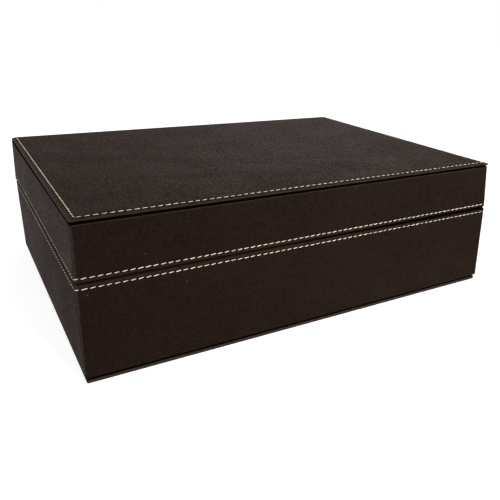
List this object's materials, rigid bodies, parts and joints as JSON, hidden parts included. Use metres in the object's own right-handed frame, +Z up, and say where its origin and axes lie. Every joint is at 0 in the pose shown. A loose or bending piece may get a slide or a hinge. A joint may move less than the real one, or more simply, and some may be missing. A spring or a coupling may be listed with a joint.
{
  "type": "gift box",
  "caption": "Leather-covered keepsake box with a stitched, overhanging lid panel and a shallow lid that swings open on its own leather cover at the back.",
  "frame": {"origin": "middle of the footprint, on the surface that the box stands on", "axes": "+X to the right along the long front, +Y towards the hinge at the back, +Z up"},
  "size_m": [0.304, 0.23, 0.096],
  "materials": {
    "leather": "dark brown fine-grained bonded leather, matt with a soft sheen",
    "board": "bare fibreboard",
    "lining": "short black-brown flock",
    "thread": "cream waxed sewing thread",
    "magnet": "nickel-plated magnet"
  },
  "bodies": {
    "base": {"bottom_cover": "leather", "bottom_board": "board", "base_wall_front": "board", "base_wall_right": "board", "base_wall_back": "board", "base_wall_left": "board", "base_magnet_left": "magnet", "base_magnet_right": "magnet", "base_wrap": "leather", "base_lining_front": "lining", "base_lining_right": "lining", "base_lining_back": "lining", "base_lining_left": "lining", "base_lining_floor": "lining", "cover_hinge": "leather", "cover_back": "leather"},
    "lid": {"top_cover": "leather", "top_board": "board", "lid_wall_front": "board", "lid_wall_right": "board", "lid_wall_back": "board", "lid_wall_left": "board", "lid_magnet_left": "magnet", "lid_magnet_right": "magnet", "lid_wrap": "leather", "lid_lining_front": "lining", "lid_lining_right": "lining", "lid_lining_back": "lining", "lid_lining_left": "lining", "lid_lining_top": "lining"}
  },
  "joints": [
    {"name": "lid_hinge", "type": "hinge", "parent": "base", "child": "lid", "pos_m": [0, 0.1147, 0.0608], "axis": [-1, 0, 0], "range_deg": [0, 175], "deforming": ["cover_hinge"]}
  ]
}
